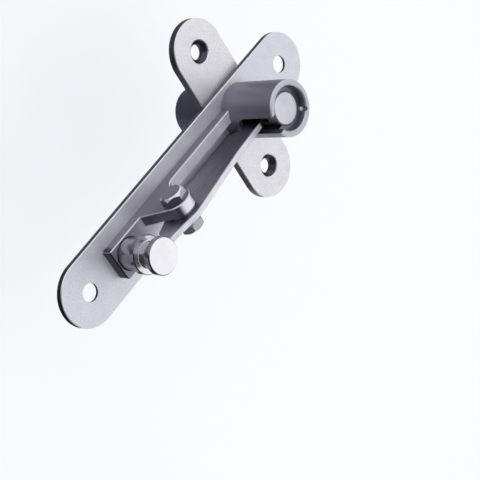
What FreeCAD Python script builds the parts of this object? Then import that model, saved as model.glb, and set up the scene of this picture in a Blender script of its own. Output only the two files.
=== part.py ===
import FreeCAD, Part
import math
import os

import Sketcher

# Top pivot hinge for a heavy swing door, in millimetres.
# The origin is on the turning axis, level with the face of the frame plate that seats in the frame.
# +Z points up into the frame head and the frame plate runs along X.
# The door plate below is shown with the door open at a right angle, so it runs along Y.

SIZES = [
    # Frame plate
    ("plate_width", 30.0),
    ("plate_thick", 3.0),
    ("plate_pitch", 150.0),
    ("hole_from_axis", 33.5),
    ("plate_hole_dia", 8.0),
    ("plate_sink_dia", 11.3),
    ("edge_break", 0.3),
    # Barrel, its bush and the key between them
    ("barrel_dia", 25.5),
    ("barrel_bore_dia", 20.0),
    ("barrel_top", 30.8),
    ("barrel_rim", 0.5),
    ("slot_width", 8.6),
    ("slot_floor", 9.0),
    ("bush_recess", 3.3),
    ("key_dia", 2.0),
    ("key_length", 8.0),
    ("key_proud", 1.0),
    ("key_turn", -41.0),
    # Pivot pin
    ("pin_dia", 15.0),
    ("pin_top", 27.8),
    ("pin_reach", 16.0),
    ("pin_break", 0.5),
    ("pin_lead", 1.6),
    ("running_fit", 0.05),
    ("window_top", 21.9),
    ("window_floor", 9.2),
    ("window_depth", 5.5),
    ("window_play", 0.25),
    # Cross dowel that drives the pin
    ("drive_dia", 4.0),
    ("drive_length", 12.0),
    ("drive_height", 16.0),
    ("drive_play", 0.15),
    ("drive_swing", 1.3),
    # Lever
    ("lever_thick", 3.0),
    ("lever_play", 0.2),
    ("pivot_from_axis", 68.0),
    ("pivot_height", 17.5),
    ("nose_radius", 4.5),
    ("nose_length", 17.0),
    ("arm_bend", 30.0),
    ("arm_height", 21.6),
    ("crest_height", 26.3),
    ("belly_height", 6.9),
    ("belly_near", 20.7),
    ("belly_far", 54.0),
    ("elbow_from_axis", 76.0),
    ("elbow_height", 12.0),
    ("heel_from_axis", 81.8),
    ("heel_height", 14.1),
    ("tail_radius", 3.0),
    ("tail_height", 19.75),
    ("tail_gap", 0.5),
    ("lever_round", 2.0),
    ("lever_break", 0.25),
    # Bracket
    ("bar_height", 5.0),
    ("bar_width", 16.0),
    ("bar_end", 8.1),
    ("bar_corner", 1.0),
    ("bar_corner_wide", 2.0),
    ("bar_bevel", 0.4),
    ("channel_width", 6.0),
    ("channel_end", 71.0),
    ("lug_radius", 6.9),
    ("cheek_foot", 79.6),
    ("cheek_root", 6.0),
    ("seam", 0.05),
    # Lever bolt, sleeve, washers and nut
    ("bolt_dia", 6.0),
    ("bolt_flats", 10.0),
    ("bolt_head", 4.0),
    ("hex_bevel", 0.5),
    ("bolt_turn", 40.0),
    ("bolt_proud", 1.0),
    ("sleeve_dia", 8.0),
    ("collar_dia", 12.5),
    ("washer_dia", 12.0),
    ("washer_thick", 1.5),
    ("nut_height", 5.0),
    ("nut_turn", 6.0),
    ("hole_play", 0.1),
    # Adjusting screw with its grooved spool
    ("screw_from_axis", 93.1),
    ("screw_dia", 14.0),
    ("screw_foot", 0.6),
    ("screw_lead", 0.8),
    ("flange_dia", 16.8),
    ("flange_thick", 3.2),
    ("flange_top", 16.6),
    ("flange_break", 0.4),
    ("neck_dia", 11.0),
    ("neck_round", 0.8),
    ("spool_dia", 16.2),
    ("spool_top", 25.7),
    ("spool_head", 2.8),
    ("spool_break", 0.5),
    ("dimple_radius", 0.9),
    ("socket_flats", 6.0),
    ("socket_depth", 6.0),
    # Countersunk screws that hold the bracket from below
    ("fixing_dia", 3.0),
    ("fixing_head_dia", 5.6),
    ("fixing_grip", 4.0),
    ("fixing_far", 79.0),
    ("fixing_near", 22.0),
    ("fixing_flats", 2.0),
    ("fixing_socket", 1.1),
    # Door plate, socket cup and its bush
    ("leaf_gap", 0.7),
    ("leaf_width", 30.0),
    ("leaf_thick", 4.0),
    ("leaf_pitch", 67.2),
    ("leaf_hole_dia", 7.0),
    ("leaf_sink_dia", 11.3),
    ("cup_dia", 23.0),
    ("cup_depth", 28.8),
    ("cup_wall", 2.0),
    ("cup_spigot_dia", 21.0),
    ("cup_break", 0.6),
    ("cup_step", 1.5),
    ("socket_recess", 0.5),
    ("socket_length", 20.0),
    ("socket_lead", 0.8),
]


def add_sizes(doc):
    """Put every driving size into the sheet under its own name."""
    sheet = doc.addObject("Spreadsheet::Sheet", "sizes")
    for row, (name, size) in enumerate(SIZES, start=1):
        sheet.set(f"A{row}", name.replace("_", " "))
        sheet.set(f"B{row}", str(size))
        sheet.setAlias(f"B{row}", name)
    doc.recompute()
    return sheet


DOC = FreeCAD.newDocument("top_pivot_hinge")
SHEET = add_sizes(DOC)


def size(name):
    """The size of that name, as a plain number."""
    return float(getattr(SHEET, name))


def work_out(expression):
    """The plain number that an expression in the sheet's names comes to."""
    result = SHEET.evalExpression(expression)
    return float(getattr(result, "Value", result))


def s(text):
    """Turn $name into a reference to the sheet's cell of that name."""
    return text.replace("$", "sizes.")


def new_body(label):
    body = DOC.addObject("PartDesign::Body", label)
    body.Label = label
    return body


def origin_plane(body, role):
    for feature in body.Origin.OriginFeatures:
        if feature.Role == role:
            return feature
    raise ValueError(role)


def new_sketch(body, role, name, offset=None):
    """A sketch on one of the body's own origin planes, offset along the plane's normal."""
    sketch = body.newObject("Sketcher::SketchObject", name)
    sketch.AttachmentSupport = (origin_plane(body, role), [""])
    sketch.MapMode = "FlatFace"
    if offset is not None:
        sketch.setExpression("AttachmentOffset.Base.z", s(offset))
    return sketch


def bind_point(sketch, element, end, across, up):
    """Hold one point of a sketch at two expressions."""
    for kind, text in (("DistanceX", across), ("DistanceY", up)):
        index = sketch.addConstraint(Sketcher.Constraint(kind, element, end, work_out(s(text))))
        sketch.setExpression(f"Constraints[{index}]", s(text))


def draw_polygon(sketch, corners):
    """Closed straight-sided outline through corners given as pairs of expressions."""
    points = [FreeCAD.Vector(work_out(s(across)), work_out(s(up)), 0) for across, up in corners]
    count = len(points)
    lines = [Part.LineSegment(points[i], points[(i + 1) % count]) for i in range(count)]
    first = sketch.addGeometry(lines, False)[0]
    for i in range(count):
        following = first + (i + 1) % count
        sketch.addConstraint(Sketcher.Constraint("Coincident", first + i, 2, following, 1))
    for i, (across, up) in enumerate(corners):
        bind_point(sketch, first + i, 1, across, up)


def draw_circle(sketch, across, up, radius):
    """Circle with its centre and radius bound to expressions."""
    centre = FreeCAD.Vector(work_out(s(across)), work_out(s(up)), 0)
    circle = Part.Circle(centre, FreeCAD.Vector(0, 0, 1), work_out(s(radius)))
    element = sketch.addGeometry(circle, False)
    bind_point(sketch, element, 3, across, up)
    index = sketch.addConstraint(Sketcher.Constraint("Radius", element, work_out(s(radius))))
    sketch.setExpression(f"Constraints[{index}]", s(radius))


def draw_obround(sketch, first, second, radius):
    """Two half circles joined by tangent lines; the centres are pairs of expressions."""
    start = FreeCAD.Vector(work_out(s(first[0])), work_out(s(first[1])), 0)
    end = FreeCAD.Vector(work_out(s(second[0])), work_out(s(second[1])), 0)
    reach = work_out(s(radius))
    along = end - start
    turn = math.atan2(along.y, along.x)
    aside = FreeCAD.Vector(-math.sin(turn), math.cos(turn), 0) * reach
    up = FreeCAD.Vector(0, 0, 1)
    near_arc, low_line, far_arc, high_line = sketch.addGeometry([
        Part.ArcOfCircle(Part.Circle(start, up, reach), turn + math.pi / 2, turn + 3 * math.pi / 2),
        Part.LineSegment(start - aside, end - aside),
        Part.ArcOfCircle(Part.Circle(end, up, reach), turn - math.pi / 2, turn + math.pi / 2),
        Part.LineSegment(end + aside, start + aside),
    ], False)
    joints = ((near_arc, low_line), (low_line, far_arc), (far_arc, high_line), (high_line, near_arc))
    for one, other in joints:
        sketch.addConstraint(Sketcher.Constraint("Tangent", one, 2, other, 1))
    bind_point(sketch, near_arc, 3, *first)
    bind_point(sketch, far_arc, 3, *second)
    index = sketch.addConstraint(Sketcher.Constraint("Radius", near_arc, reach))
    sketch.setExpression(f"Constraints[{index}]", s(radius))


def pad(body, sketch, name, length, midplane=False, reverse=False):
    feature = body.newObject("PartDesign::Pad", name)
    feature.Profile = sketch
    feature.Midplane = midplane
    feature.Reversed = reverse
    feature.setExpression("Length", s(length))
    return feature


def pocket(body, sketch, name, length=None, midplane=False, reverse=False):
    """Cut the sketch out of the body, and make sure that it took something away."""
    DOC.recompute()
    before = body.Shape.Volume
    feature = body.newObject("PartDesign::Pocket", name)
    feature.Profile = sketch
    feature.Midplane = midplane
    feature.Reversed = reverse
    if length is None:
        feature.Type = "ThroughAll"
    else:
        feature.setExpression("Length", s(length))
    DOC.recompute()
    if body.Shape.Volume >= before:
        raise RuntimeError(f"{body.Label}: {name} cuts nothing")
    return feature


def revolve(body, sketch, name):
    feature = body.newObject("PartDesign::Revolution", name)
    feature.Profile = sketch
    feature.ReferenceAxis = (sketch, ["V_Axis"])
    feature.Angle = 360.0
    return feature


def groove(body, sketch, name):
    """Turn a recess into the body, and make sure that it took something away."""
    DOC.recompute()
    before = body.Shape.Volume
    feature = body.newObject("PartDesign::Groove", name)
    feature.Profile = sketch
    feature.ReferenceAxis = (sketch, ["V_Axis"])
    feature.Angle = 360.0
    DOC.recompute()
    if body.Shape.Volume >= before:
        raise RuntimeError(f"{body.Label}: {name} cuts nothing")
    return feature


def turned(label, outline):
    """Body turned about its own Z axis from an outline of radius and height pairs."""
    body = new_body(label)
    sketch = new_sketch(body, "XZ_Plane", f"{label}_profile")
    draw_polygon(sketch, outline)
    revolve(body, sketch, f"{label}_turned")
    DOC.recompute()
    return body


def edges_where(shape, test):
    """Names of the shape's edges whose middle point passes the test."""
    names = []
    for number, edge in enumerate(shape.Edges, start=1):
        middle = edge.valueAt((edge.FirstParameter + edge.LastParameter) / 2)
        if test(edge, middle):
            names.append(f"Edge{number}")
    return names


def dress(body, kind, name, test, setting, amount):
    """Fillet or chamfer the edges that pass the test, by an expression."""
    DOC.recompute()
    tip = body.Tip
    names = edges_where(tip.Shape, test)
    if not names:
        raise RuntimeError(f"{body.Label}: {name} finds no edge")
    feature = body.newObject(f"PartDesign::{kind}", name)
    feature.Base = (tip, names)
    feature.setExpression(setting, s(amount))
    DOC.recompute()
    return feature


def chamfer(body, name, test, amount):
    return dress(body, "Chamfer", name, test, "Size", amount)


def fillet(body, name, test, amount):
    return dress(body, "Fillet", name, test, "Radius", amount)


def place(piece, x="0", y="0", z="0", rotation=None):
    """Set a piece's Placement: the turn as it is, the position bound to the sheet."""
    if rotation is not None:
        piece.Placement = FreeCAD.Placement(FreeCAD.Vector(0, 0, 0), rotation)
    for axis, text in (("x", x), ("y", y), ("z", z)):
        if text != "0":
            piece.setExpression(f"Placement.Base.{axis}", s(text))


def near(one, other, tolerance=0.01):
    return abs(one - other) < tolerance


# Heights, places and radii that several pieces share
PLATE_UNDER = "-$plate_thick"
LEAF_TOP = "-$plate_thick - $leaf_gap"
LEAF_UNDER = "-$plate_thick - $leaf_gap - $leaf_thick"
FAR_HOLE = "$hole_from_axis - $plate_pitch"
PIN_BORE = "$pin_dia/2 + $running_fit"
BUSH_TOP = "$barrel_top - $bush_recess"
KEY_X = "$barrel_bore_dia/2*cos($key_turn)"
KEY_Y = "$barrel_bore_dia/2*sin($key_turn)"
KEY_FOOT = f"{BUSH_TOP} + $key_proud - $key_length"
CHEEK_Y = "$channel_width/2"
CHEEK_MIDDLE = "$channel_width/4 + $bar_width/4"
SCREW_BORE = "$screw_dia/2 + $running_fit"
WASHER_FACE = "-$lever_thick/2 - $lever_play"
NUT_FACE = f"{WASHER_FACE} - $washer_thick"
NUT_END = f"{NUT_FACE} - $nut_height"
BAR_REACH = "$screw_from_axis + $bar_end"
CUP_BORE = "$cup_dia/2 - $cup_wall"
CUP_END = f"{LEAF_TOP} - $cup_depth"
SOCKET_TOP = f"{LEAF_TOP} - $socket_recess"
SOCKET_FOOT = f"{SOCKET_TOP} - $socket_length"
FIXINGS = (
    ("-$fixing_far", "0"),
    ("-$fixing_near", CHEEK_MIDDLE),
    ("-$fixing_near", f"-({CHEEK_MIDDLE})"),
)

# Turn that lays a piece's own Z axis along -Y of the hinge
ALONG_MINUS_Y = FreeCAD.Rotation(FreeCAD.Vector(1, 0, 0), 90)


def hexagon(sketch, flats):
    """Hexagon round the sketch's origin, bound to its size across the flats."""
    corner = f"{flats}/2/cos(30)"
    draw_polygon(sketch, [(f"{corner}*cos({60 * step})", f"{corner}*sin({60 * step})") for step in range(6)])


def sink(body, name, across, up, face, small, wide, opens_down):
    """Cone of ninety degrees for a screw head, cut from the face at that height."""
    cone = body.newObject("PartDesign::SubtractiveCone", name)
    cone.AttachmentSupport = (origin_plane(body, "XY_Plane"), [""])
    cone.MapMode = "FlatFace"
    depth = f"({wide} - {small})/2"
    foot = face if opens_down else f"{face} - {depth}"
    lower, upper = (wide, small) if opens_down else (small, wide)
    cone.setExpression("AttachmentOffset.Base.x", s(across))
    cone.setExpression("AttachmentOffset.Base.y", s(up))
    cone.setExpression("AttachmentOffset.Base.z", s(foot))
    cone.setExpression("Radius1", s(f"{lower}/2"))
    cone.setExpression("Radius2", s(f"{upper}/2"))
    cone.setExpression("Height", s(depth))
    DOC.recompute()


def ring(label, outer, inner, height):
    """Plain turned ring standing on its own XY plane."""
    return turned(label, [(inner, "0"), (outer, "0"), (outer, height), (inner, height)])


def dowel(label, radius, length):
    """Solid dowel with broken ends, standing on its own XY plane."""
    end = "$edge_break"
    return turned(label, [
        ("0", "0"),
        (f"{radius} - {end}", "0"),
        (radius, end),
        (radius, f"{length} - {end}"),
        (f"{radius} - {end}", length),
        ("0", length),
    ])


def is_flat(edge):
    """True for an edge that lies level."""
    return near(edge.BoundBox.ZLength, 0)


def make_frame_plate():
    """Round-ended plate, countersunk from below, pierced for the bush, the screw and the fixings."""
    body = new_body("frame_plate")
    outline = new_sketch(body, "XY_Plane", "frame_plate_outline", PLATE_UNDER)
    draw_obround(outline, (FAR_HOLE, "0"), ("$hole_from_axis", "0"), "$plate_width/2")
    pad(body, outline, "frame_plate_blank", "$plate_thick")
    chamfer(body, "frame_plate_edges", lambda edge, middle: is_flat(edge), "$edge_break")
    holes = new_sketch(body, "XY_Plane", "frame_plate_holes")
    draw_circle(holes, FAR_HOLE, "0", "$plate_hole_dia/2")
    draw_circle(holes, "$hole_from_axis", "0", "$plate_hole_dia/2")
    draw_circle(holes, "0", "0", "$barrel_bore_dia/2")
    draw_circle(holes, "-$screw_from_axis", "0", f"{SCREW_BORE} + $hole_play")
    for across, up in FIXINGS:
        draw_circle(holes, across, up, "$fixing_dia/2")
    pocket(body, holes, "frame_plate_pierced")
    for number, across in enumerate((FAR_HOLE, "$hole_from_axis"), start=1):
        sink(body, f"plate_sink_{number}", across, "0", PLATE_UNDER,
             "$plate_hole_dia", "$plate_sink_dia", True)
    for number, (across, up) in enumerate(FIXINGS, start=1):
        sink(body, f"fixing_sink_{number}", across, up, PLATE_UNDER,
             "$fixing_dia", "$fixing_head_dia", True)
    return body


def cut_lever_slot(body, name):
    """Round-floored slot towards the lever, open at the top."""
    slot = new_sketch(body, "YZ_Plane", f"{name}_outline")
    radius = "$slot_width/2"
    draw_obround(slot, ("0", f"$slot_floor + {radius}"), ("0", "$barrel_top + $slot_width"), radius)
    pocket(body, slot, name, "$barrel_dia")


def cut_key_seat(body, name):
    """Half of the axial hole that the key shares between bush and barrel."""
    seat = new_sketch(body, "XY_Plane", f"{name}_outline", KEY_FOOT)
    draw_circle(seat, KEY_X, KEY_Y, "$key_dia/2")
    pocket(body, seat, name, "$barrel_top", reverse=True)


def make_pin_barrel():
    """Upright barrel on the frame plate, slotted for the lever."""
    rim = "$barrel_rim"
    outer = "$barrel_dia/2"
    bore = "$barrel_bore_dia/2"
    body = turned("pin_barrel", [
        (bore, "0"),
        (outer, "0"),
        (outer, f"$barrel_top - {rim}"),
        (f"{outer} - {rim}", "$barrel_top"),
        (f"{bore} + {rim}", "$barrel_top"),
        (bore, f"$barrel_top - {rim}"),
    ])
    cut_lever_slot(body, "barrel_slot")
    cut_key_seat(body, "barrel_key_seat")
    return body


def make_guide_bush():
    """Bush through plate and barrel that guides the pivot pin."""
    bore = PIN_BORE
    outer = "$barrel_bore_dia/2"
    body = turned("guide_bush", [
        (bore, PLATE_UNDER),
        (outer, PLATE_UNDER),
        (outer, BUSH_TOP),
        (f"{bore} + $edge_break", BUSH_TOP),
        (bore, f"{BUSH_TOP} - $edge_break"),
    ])
    cut_lever_slot(body, "bush_slot")
    cut_key_seat(body, "bush_key_seat")
    return body


def make_bush_key():
    """Dowel in the seam of bush and barrel that keeps their slots in line."""
    body = dowel("bush_key", "$key_dia/2", "$key_length")
    place(body, KEY_X, KEY_Y, KEY_FOOT)
    return body


def make_pivot_pin():
    """Sliding pivot pin with a window for the lever nose and a cross slot for its dowel."""
    radius = "$pin_dia/2"
    body = turned("pivot_pin", [
        ("0", "-$pin_reach"),
        (f"{radius} - $pin_lead", "-$pin_reach"),
        (radius, "-$pin_reach + $pin_lead"),
        (radius, "$pin_top - $pin_break"),
        (f"{radius} - $pin_break", "$pin_top"),
        ("0", "$pin_top"),
    ])
    window = new_sketch(body, "XZ_Plane", "pin_window_outline")
    draw_polygon(window, [
        ("-$pin_dia", "$window_floor"),
        ("$window_depth", "$window_floor"),
        ("$window_depth", "$window_top"),
        ("-$pin_dia", "$window_top"),
    ])
    pocket(body, window, "pin_window", "$lever_thick + 2*$window_play", midplane=True)
    slot = new_sketch(body, "XZ_Plane", "pin_cross_slot_outline")
    centre = "$drive_height"
    draw_obround(slot, ("-$drive_swing", centre), ("$drive_play", centre), "$drive_dia/2 + $drive_play")
    pocket(body, slot, "pin_cross_slot", "2*$pin_dia", midplane=True)
    return body


def make_drive_pin():
    """Cross dowel pressed into the lever's nose."""
    body = dowel("drive_pin", "$drive_dia/2", "$drive_length")
    place(body, y="$drive_length/2", z="$drive_height", rotation=ALONG_MINUS_Y)
    return body


def make_lever():
    """Flat cranked lever on edge: nose in the pivot pin, tail in the adjusting screw's groove."""
    body = new_body("lever")
    tail_x = "-($screw_from_axis - $neck_dia/2 - $tail_gap - $tail_radius)"
    outline = new_sketch(body, "XZ_Plane", "lever_outline")
    draw_polygon(outline, [
        ("0", "$drive_height + $nose_radius"),
        ("-$arm_bend", "$arm_height"),
        ("-$pivot_from_axis", "$crest_height"),
        (tail_x, "$tail_height + $tail_radius"),
        (tail_x, "$tail_height - $tail_radius"),
        ("-$heel_from_axis", "$heel_height"),
        ("-$elbow_from_axis", "$elbow_height"),
        ("-$belly_far", "$belly_height"),
        ("-$belly_near", "$belly_height"),
        ("-$nose_length", "$drive_height - $nose_radius"),
        ("0", "$drive_height - $nose_radius"),
    ])
    pad(body, outline, "lever_blank", "$lever_thick", midplane=True)
    ends = new_sketch(body, "XZ_Plane", "lever_ends_outline")
    draw_circle(ends, "0", "$drive_height", "$nose_radius")
    draw_circle(ends, tail_x, "$tail_height", "$tail_radius")
    pad(body, ends, "lever_ends", "$lever_thick", midplane=True)
    bends = ("$pivot_from_axis", "$elbow_from_axis", "$belly_far", "$belly_near", "$nose_length")
    places = [-work_out(s(text)) for text in bends]

    def at_bend(edge, middle):
        return edge.BoundBox.YLength > 1 and any(near(middle.x, place_x) for place_x in places)

    fillet(body, "lever_bends", at_bend, "$lever_round")
    chamfer(body, "lever_edges", lambda edge, middle: near(edge.BoundBox.YLength, 0), "$lever_break")
    holes = new_sketch(body, "XZ_Plane", "lever_holes_outline")
    draw_circle(holes, "-$pivot_from_axis", "$pivot_height", "$sleeve_dia/2 + $running_fit")
    draw_circle(holes, "0", "$drive_height", "$drive_dia/2")
    pocket(body, holes, "lever_holes", "2*$lever_thick", midplane=True)
    return body


def make_lever_bracket():
    """Bar on the frame plate with a milled channel and one upright cheek for the lever bolt."""
    body = new_body("lever_bracket")
    half = "$bar_width/2"
    bar = new_sketch(body, "XY_Plane", "bar_outline")
    end = f"-({BAR_REACH})"
    draw_polygon(bar, [(end, f"-{half}"), ("0", f"-{half}"), ("0", half), (end, half)])
    pad(body, bar, "bar_blank", "$bar_height")
    far_end = work_out(s(end))
    side = work_out(s(half))
    top = size("bar_height")
    corners = (("bar_corner", side, "$bar_corner"), ("bar_wide_corner", -side, "$bar_corner_wide"))
    for name, corner_y, radius in corners:
        fillet(body, name, lambda edge, middle: near(middle.x, far_end) and near(middle.y, corner_y), radius)
    cheek = new_sketch(body, "XZ_Plane", "cheek_outline", f"-({CHEEK_Y})")
    foot = "$cheek_foot - $pivot_from_axis"
    rise = "$pivot_height - $bar_height"
    spread = f"(({foot})^2 + ({rise})^2)"
    touch = f"sqrt({spread} - $lug_radius^2)"
    lean_x = f"-$pivot_from_axis - $lug_radius/{spread}*($lug_radius*({foot}) + {touch}*({rise}))"
    lean_z = f"$pivot_height + $lug_radius/{spread}*({touch}*({foot}) - $lug_radius*({rise}))"
    draw_polygon(cheek, [
        ("-$cheek_foot", "0"),
        ("-$pivot_from_axis + $lug_radius", "0"),
        ("-$pivot_from_axis + $lug_radius", "$pivot_height"),
        ("-$pivot_from_axis", "$pivot_height"),
        (lean_x, lean_z),
        ("-$cheek_foot", "$bar_height"),
    ])
    thickness = f"{half} - {CHEEK_Y}"
    pad(body, cheek, "cheek_blank", thickness, reverse=True)
    lug = new_sketch(body, "XZ_Plane", "lug_outline", f"-({CHEEK_Y})")
    draw_circle(lug, "-$pivot_from_axis", "$pivot_height", "$lug_radius")
    pad(body, lug, "cheek_lug", thickness, reverse=True)
    root_x = work_out(s("-$pivot_from_axis + $lug_radius"))
    fillet(body, "cheek_root_round", lambda edge, middle: near(middle.x, root_x) and near(middle.z, top)
           and near(edge.BoundBox.XLength, 0), "$cheek_root")

    def on_rim(edge, middle):
        outside = near(abs(middle.y), side) and near(edge.BoundBox.YLength, 0)
        at_end = middle.x < far_end + size("bar_corner_wide")
        return edge.BoundBox.ZMin > top - 0.01 and (outside or at_end)

    chamfer(body, "bracket_edges", on_rim, "$bar_bevel")
    channel = new_sketch(body, "XY_Plane", "channel_outline", "$bar_height")
    width = "$channel_width/2"
    draw_obround(channel, (f"-$channel_end + {width}", "0"), ("$barrel_dia", "0"), width)
    pocket(body, channel, "bar_channel", "2*$bar_height")
    seat = new_sketch(body, "XY_Plane", "barrel_seat_outline", "$bar_height")
    draw_circle(seat, "0", "0", "$barrel_dia/2 + $seam")
    pocket(body, seat, "barrel_seat", "2*$bar_height")
    bore = new_sketch(body, "XY_Plane", "screw_bore_outline", "$bar_height")
    draw_circle(bore, "-$screw_from_axis", "0", SCREW_BORE)
    pocket(body, bore, "screw_bore", "2*$bar_height")
    sink(body, "screw_bore_lip", "-$screw_from_axis", "0", "$bar_height",
         f"2*({SCREW_BORE})", f"(2*({SCREW_BORE}) + 2*$edge_break)", False)
    taps = new_sketch(body, "XY_Plane", "fixing_taps_outline")
    for across, up in FIXINGS:
        draw_circle(taps, across, up, "$fixing_dia/2")
    pocket(body, taps, "fixing_taps", "$fixing_grip", reverse=True)
    eye = new_sketch(body, "XZ_Plane", "cheek_eye_outline")
    draw_circle(eye, "-$pivot_from_axis", "$pivot_height", "$bolt_dia/2 + $hole_play/2")
    pocket(body, eye, "cheek_eye", "$bar_width")
    return body


def make_bracket_screw(number, across, up):
    """Countersunk screw driven up through the frame plate into the bracket."""
    label = f"bracket_screw_{number}"
    radius = "$fixing_dia/2"
    head = "$fixing_head_dia/2"
    body = turned(label, [
        ("0", "0"),
        (head, "0"),
        (radius, f"{head} - {radius}"),
        (radius, "$plate_thick + $fixing_grip"),
        ("0", "$plate_thick + $fixing_grip"),
    ])
    socket = new_sketch(body, "XY_Plane", f"{label}_socket_outline")
    hexagon(socket, "$fixing_flats")
    pocket(body, socket, f"{label}_socket", "$fixing_socket", reverse=True)
    place(body, across, up, PLATE_UNDER)
    return body


def bevel_hexagon(body, name, flats, low, high):
    """Turned bevel of forty-five degrees on a hexagon's corners, at the height low, high or both."""
    inner = f"{flats}/2 - $hex_bevel"
    outer = f"{flats}/2/cos(30) + $hex_bevel"
    for tag, face, sign in (("foot", low, "+"), ("top", high, "-")):
        if face is None:
            continue
        outline = new_sketch(body, "XZ_Plane", f"{name}_{tag}_outline")
        draw_polygon(outline, [
            (inner, face),
            (outer, face),
            (outer, f"{face} {sign} ({outer} - ({inner}))"),
        ])
        groove(body, outline, f"{name}_{tag}")


def make_pivot_bolt():
    """Hexagon bolt through the cheek that the lever turns on."""
    body = new_body("pivot_bolt")
    shank = new_sketch(body, "XY_Plane", "pivot_bolt_shank_outline")
    draw_circle(shank, "0", "0", "$bolt_dia/2")
    length = f"$bar_width/2 - ({NUT_END}) + $bolt_proud"
    pad(body, shank, "pivot_bolt_shank", length)
    end = work_out(s(length))
    chamfer(body, "pivot_bolt_point", lambda edge, middle: is_flat(edge) and near(middle.z, end),
            "2*$edge_break")
    head = new_sketch(body, "XY_Plane", "pivot_bolt_head_outline")
    hexagon(head, "$bolt_flats")
    pad(body, head, "pivot_bolt_head", "$bolt_head", reverse=True)
    bevel_hexagon(body, "pivot_bolt_bevel", "$bolt_flats", "-$bolt_head", None)
    turn = FreeCAD.Rotation(FreeCAD.Vector(0, 0, 1), size("bolt_turn"))
    place(body, "-$pivot_from_axis", "$bar_width/2", "$pivot_height", ALONG_MINUS_Y.multiply(turn))
    return body


def make_pivot_nut():
    """Hexagon nut on the far side of the lever."""
    body = new_body("pivot_nut")
    blank = new_sketch(body, "XY_Plane", "pivot_nut_outline")
    hexagon(blank, "$bolt_flats")
    draw_circle(blank, "0", "0", "$bolt_dia/2")
    pad(body, blank, "pivot_nut_blank", "$nut_height")
    bevel_hexagon(body, "pivot_nut_bevel", "$bolt_flats", "0", "$nut_height")
    turn = FreeCAD.Rotation(FreeCAD.Vector(0, 0, 1), size("nut_turn"))
    place(body, "-$pivot_from_axis", NUT_FACE, "$pivot_height", ALONG_MINUS_Y.multiply(turn))
    return body


def make_lever_rings():
    """Sleeve under the lever's eye, collar against the cheek and washer under the nut."""
    clear = "$bolt_dia/2 + $hole_play/2"
    sleeve = ring("pivot_sleeve", "$sleeve_dia/2", clear, f"{CHEEK_Y} - ({WASHER_FACE})")
    place(sleeve, "-$pivot_from_axis", CHEEK_Y, "$pivot_height", ALONG_MINUS_Y)
    collar = ring("pivot_collar", "$collar_dia/2", "$sleeve_dia/2 + $running_fit",
                  f"{CHEEK_Y} + {WASHER_FACE}")
    place(collar, "-$pivot_from_axis", CHEEK_Y, "$pivot_height", ALONG_MINUS_Y)
    washer = ring("pivot_washer", "$washer_dia/2", clear, "$washer_thick")
    place(washer, "-$pivot_from_axis", WASHER_FACE, "$pivot_height", ALONG_MINUS_Y)
    return [sleeve, collar, washer]


def make_adjusting_screw():
    """Turned screw whose grooved spool moves the lever's tail up and down."""
    core = "$screw_dia/2"
    flange = "$flange_dia/2"
    wide = "$spool_dia/2"
    neck = "$neck_dia/2"
    rim = "$flange_break"
    lip = "$spool_break"
    flange_foot = "$flange_top - $flange_thick"
    head_foot = "$spool_top - $spool_head"
    body = turned("adjusting_screw", [
        ("0", "$screw_foot"),
        (f"{core} - $screw_lead", "$screw_foot"),
        (core, "$screw_foot + $screw_lead"),
        (core, flange_foot),
        (f"{flange} - {rim}", flange_foot),
        (flange, f"{flange_foot} + {rim}"),
        (flange, f"$flange_top - {rim}"),
        (f"{flange} - {rim}", "$flange_top"),
        (neck, "$flange_top"),
        (neck, head_foot),
        (f"{wide} - {lip}", head_foot),
        (wide, f"{head_foot} + {lip}"),
        (wide, f"$spool_top - {lip}"),
        (f"{wide} - {lip}", "$spool_top"),
        ("$dimple_radius", "$spool_top"),
        ("0", "$spool_top - $dimple_radius"),
    ])
    neck_radius = size("neck_dia") / 2
    corners = (size("flange_top"), work_out(s(head_foot)))

    def in_groove(edge, middle):
        return is_flat(edge) and near(edge.BoundBox.XLength, 2 * neck_radius) and any(
            near(middle.z, height) for height in corners)

    fillet(body, "neck_rounds", in_groove, "$neck_round")
    socket = new_sketch(body, "XY_Plane", "screw_socket_outline", "$screw_foot")
    hexagon(socket, "$socket_flats")
    pocket(body, socket, "screw_socket", "$socket_depth", reverse=True)
    place(body, "-$screw_from_axis")
    return body


def make_door_plate():
    """Round-ended plate let into the door's top edge, countersunk from above."""
    body = new_body("door_plate")
    half_pitch = "$leaf_pitch/2"
    outline = new_sketch(body, "XY_Plane", "door_plate_outline", LEAF_UNDER)
    draw_obround(outline, ("0", f"-{half_pitch}"), ("0", half_pitch), "$leaf_width/2")
    pad(body, outline, "door_plate_blank", "$leaf_thick")
    chamfer(body, "door_plate_edges", lambda edge, middle: is_flat(edge), "$edge_break")
    holes = new_sketch(body, "XY_Plane", "door_plate_holes", LEAF_TOP)
    for up in (f"-{half_pitch}", half_pitch):
        draw_circle(holes, "0", up, "$leaf_hole_dia/2")
    draw_circle(holes, "0", "0", "$cup_spigot_dia/2")
    pocket(body, holes, "door_plate_pierced", "2*$leaf_thick")
    for number, up in enumerate((f"-{half_pitch}", half_pitch), start=1):
        sink(body, f"leaf_sink_{number}", "0", up, LEAF_TOP, "$leaf_hole_dia", "$leaf_sink_dia", False)
    return body


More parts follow.
